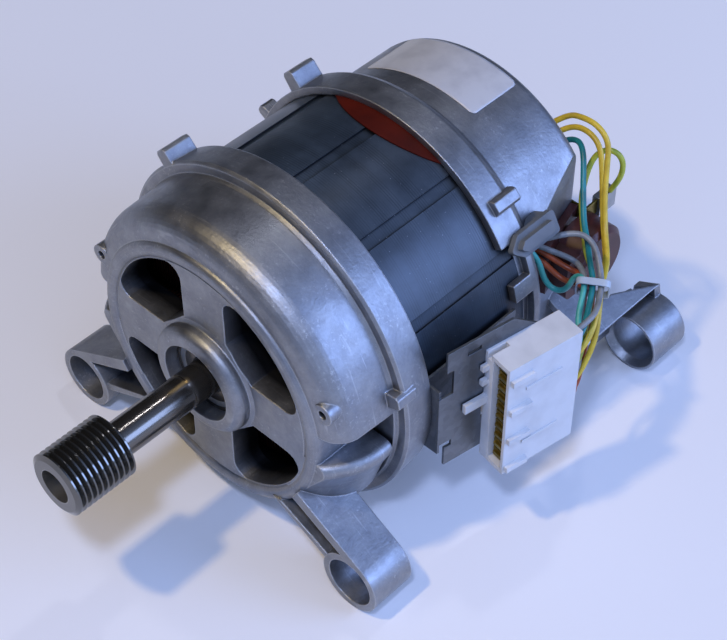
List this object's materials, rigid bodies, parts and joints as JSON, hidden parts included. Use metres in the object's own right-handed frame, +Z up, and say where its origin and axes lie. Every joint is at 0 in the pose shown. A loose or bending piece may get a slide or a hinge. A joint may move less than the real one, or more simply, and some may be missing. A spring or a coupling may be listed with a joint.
{
  "type": "washing machine motor",
  "caption": "Universal commutator motor with die-cast covers, exposed stator, ribbed belt pulley, foot bores and a side connector with its wire loom.",
  "frame": {"origin": "On the shaft's axis, in the outer face of the pulley.", "axes": "+Z is up, -Y points out of the pulley along the shaft, +X is the connector's side."},
  "size_m": [0.178, 0.2465, 0.1357],
  "materials": {
    "ground_steel": "ground and polished",
    "bearing_steel": "polished",
    "core_steel": "dull stacked sheet",
    "lacquered_laminations": "dark satin lacquer over stacked sheet",
    "cast_aluminium": "die-cast, lightly worn",
    "zinc_sheet": "bright zinc plate",
    "zinc_screw": "yellow zinc plate",
    "copper": "turned",
    "brass": "stamped",
    "enamelled_wire": "varnished copper",
    "brown_phenolic": "moulded",
    "maroon_phenolic": "moulded",
    "ferrite": "pressed ferrite",
    "carbon": "pressed carbon",
    "red_film": "thin sheet",
    "white_plastic": "moulded, satin",
    "grey_plastic": "moulded",
    "natural_nylon": "translucent",
    "teal_pvc": "wire insulation",
    "light_teal_pvc": "wire insulation",
    "grey_pvc": "wire insulation",
    "orange_pvc": "wire insulation",
    "yellow_pvc": "wire insulation",
    "earth_pvc": "wire insulation"
  },
  "bodies": {
    "motor_frame": {"front_bearing_outer": "bearing_steel", "front_bearing_shields": "zinc_sheet", "rear_bearing_outer": "bearing_steel", "rear_bearing_shields": "zinc_sheet", "stator_core": "lacquered_laminations", "field_coil_top": "enamelled_wire", "field_coil_bottom": "enamelled_wire", "insulation_film": "red_film", "front_cover": "cast_aluminium", "rear_cover": "cast_aluminium", "clamp_screws": "zinc_screw", "brush_holder_right": "maroon_phenolic", "brush_holder_left": "maroon_phenolic", "brush_guide_right": "brass", "brush_guide_left": "brass", "brush_spring_right": "bearing_steel", "brush_spring_left": "bearing_steel", "connector_housing": "white_plastic", "connector_terminals": "brass", "connector_bracket": "zinc_sheet", "lead_clip": "grey_plastic", "cable_tie": "natural_nylon", "tacho_coil": "brown_phenolic", "tacho_cover": "grey_plastic", "earth_tab": "brass", "earth_terminal": "zinc_sheet", "wire_teal": "teal_pvc", "wire_light_teal": "light_teal_pvc", "wire_grey_upper": "grey_pvc", "wire_grey_lower": "grey_pvc", "wire_orange_upper": "orange_pvc", "wire_orange_lower": "orange_pvc", "wire_yellow_upper": "yellow_pvc", "wire_yellow_lower": "yellow_pvc", "wire_earth": "earth_pvc"},
    "rotor": {"shaft": "ground_steel", "pulley": "ground_steel", "armature_core": "core_steel", "armature_winding": "enamelled_wire", "commutator_hub": "brown_phenolic", "commutator_bars": "copper", "tacho_magnet": "ferrite", "front_bearing_inner": "bearing_steel", "rear_bearing_inner": "bearing_steel"},
    "front_ball_row": {"front_bearing_balls": "bearing_steel", "front_bearing_cage": "zinc_sheet"},
    "rear_ball_row": {"rear_bearing_balls": "bearing_steel", "rear_bearing_cage": "zinc_sheet"},
    "right_brush": {"carbon_brush_right": "carbon"},
    "left_brush": {"carbon_brush_left": "carbon"}
  },
  "joints": [
    {"name": "rotor_spin", "type": "hinge", "parent": "motor_frame", "child": "rotor", "pos_m": [0, 0.0755, 0], "axis": [0, -1, 0], "continuous": true},
    {"name": "front_row_spin", "type": "hinge", "parent": "motor_frame", "child": "front_ball_row", "pos_m": [0, 0.075, 0], "axis": [0, -1, 0], "continuous": true},
    {"name": "rear_row_spin", "type": "hinge", "parent": "motor_frame", "child": "rear_ball_row", "pos_m": [0, 0.2265, 0], "axis": [0, -1, 0], "continuous": true},
    {"name": "right_brush_slide", "type": "slide", "parent": "motor_frame", "child": "right_brush", "axis": [1, 0, 0], "range_m": [0, 0.007], "stiffness_N_per_m": 400, "deforming": ["brush_spring_right"]},
    {"name": "left_brush_slide", "type": "slide", "parent": "motor_frame", "child": "left_brush", "axis": [-1, 0, 0], "range_m": [0, 0.007], "stiffness_N_per_m": 400, "deforming": ["brush_spring_left"]}
  ],
  "couplings": [
    {"joint": "front_row_spin", "follows": "rotor_spin", "ratio": 0.382},
    {"joint": "rear_row_spin", "follows": "rotor_spin", "ratio": 0.3659}
  ]
}
